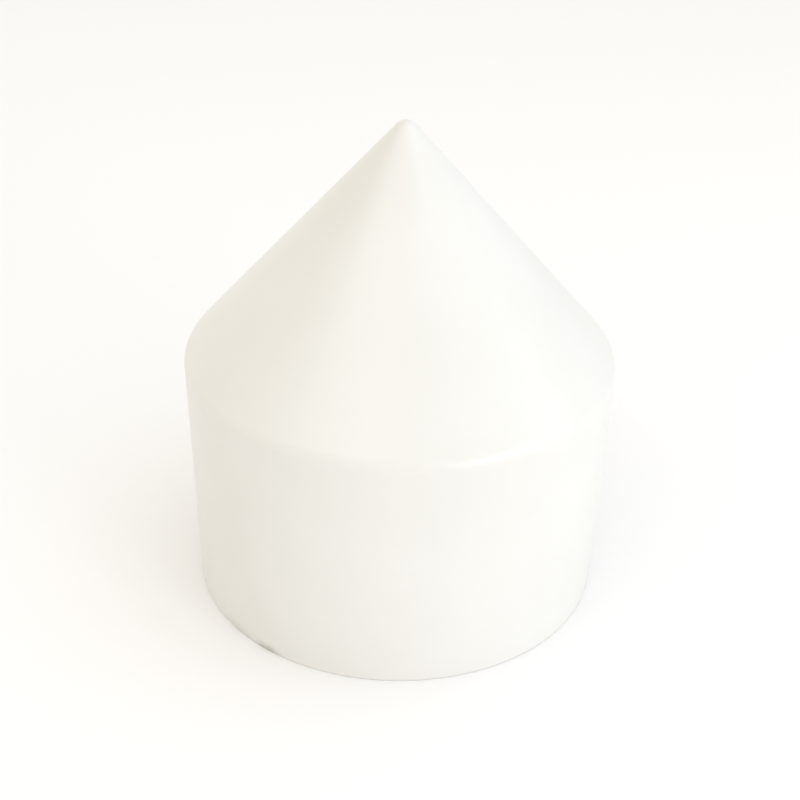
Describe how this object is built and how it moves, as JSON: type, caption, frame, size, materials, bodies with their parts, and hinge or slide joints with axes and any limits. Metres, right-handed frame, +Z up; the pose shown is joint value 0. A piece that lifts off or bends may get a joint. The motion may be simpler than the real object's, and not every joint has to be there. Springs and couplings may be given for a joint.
{
  "type": "pile cap",
  "caption": "Conical cap for a round mooring pile: one moulded shell with a straight round skirt, a rounded shoulder and a hollow cone with a blunt tip.",
  "frame": {"origin": "centre of the rim's plane, on the cap's axis", "axes": "+Z up the cap's axis, from the open rim to the tip of the cone; +X and +Y are any two square directions across, because the cap is round"},
  "size_m": [0.2619, 0.262, 0.296],
  "materials": {
    "cap_plastic": "white polyethylene, semi-gloss"
  },
  "bodies": {
    "root": {"pile_cap": "cap_plastic"}
  },
  "joints": []
}
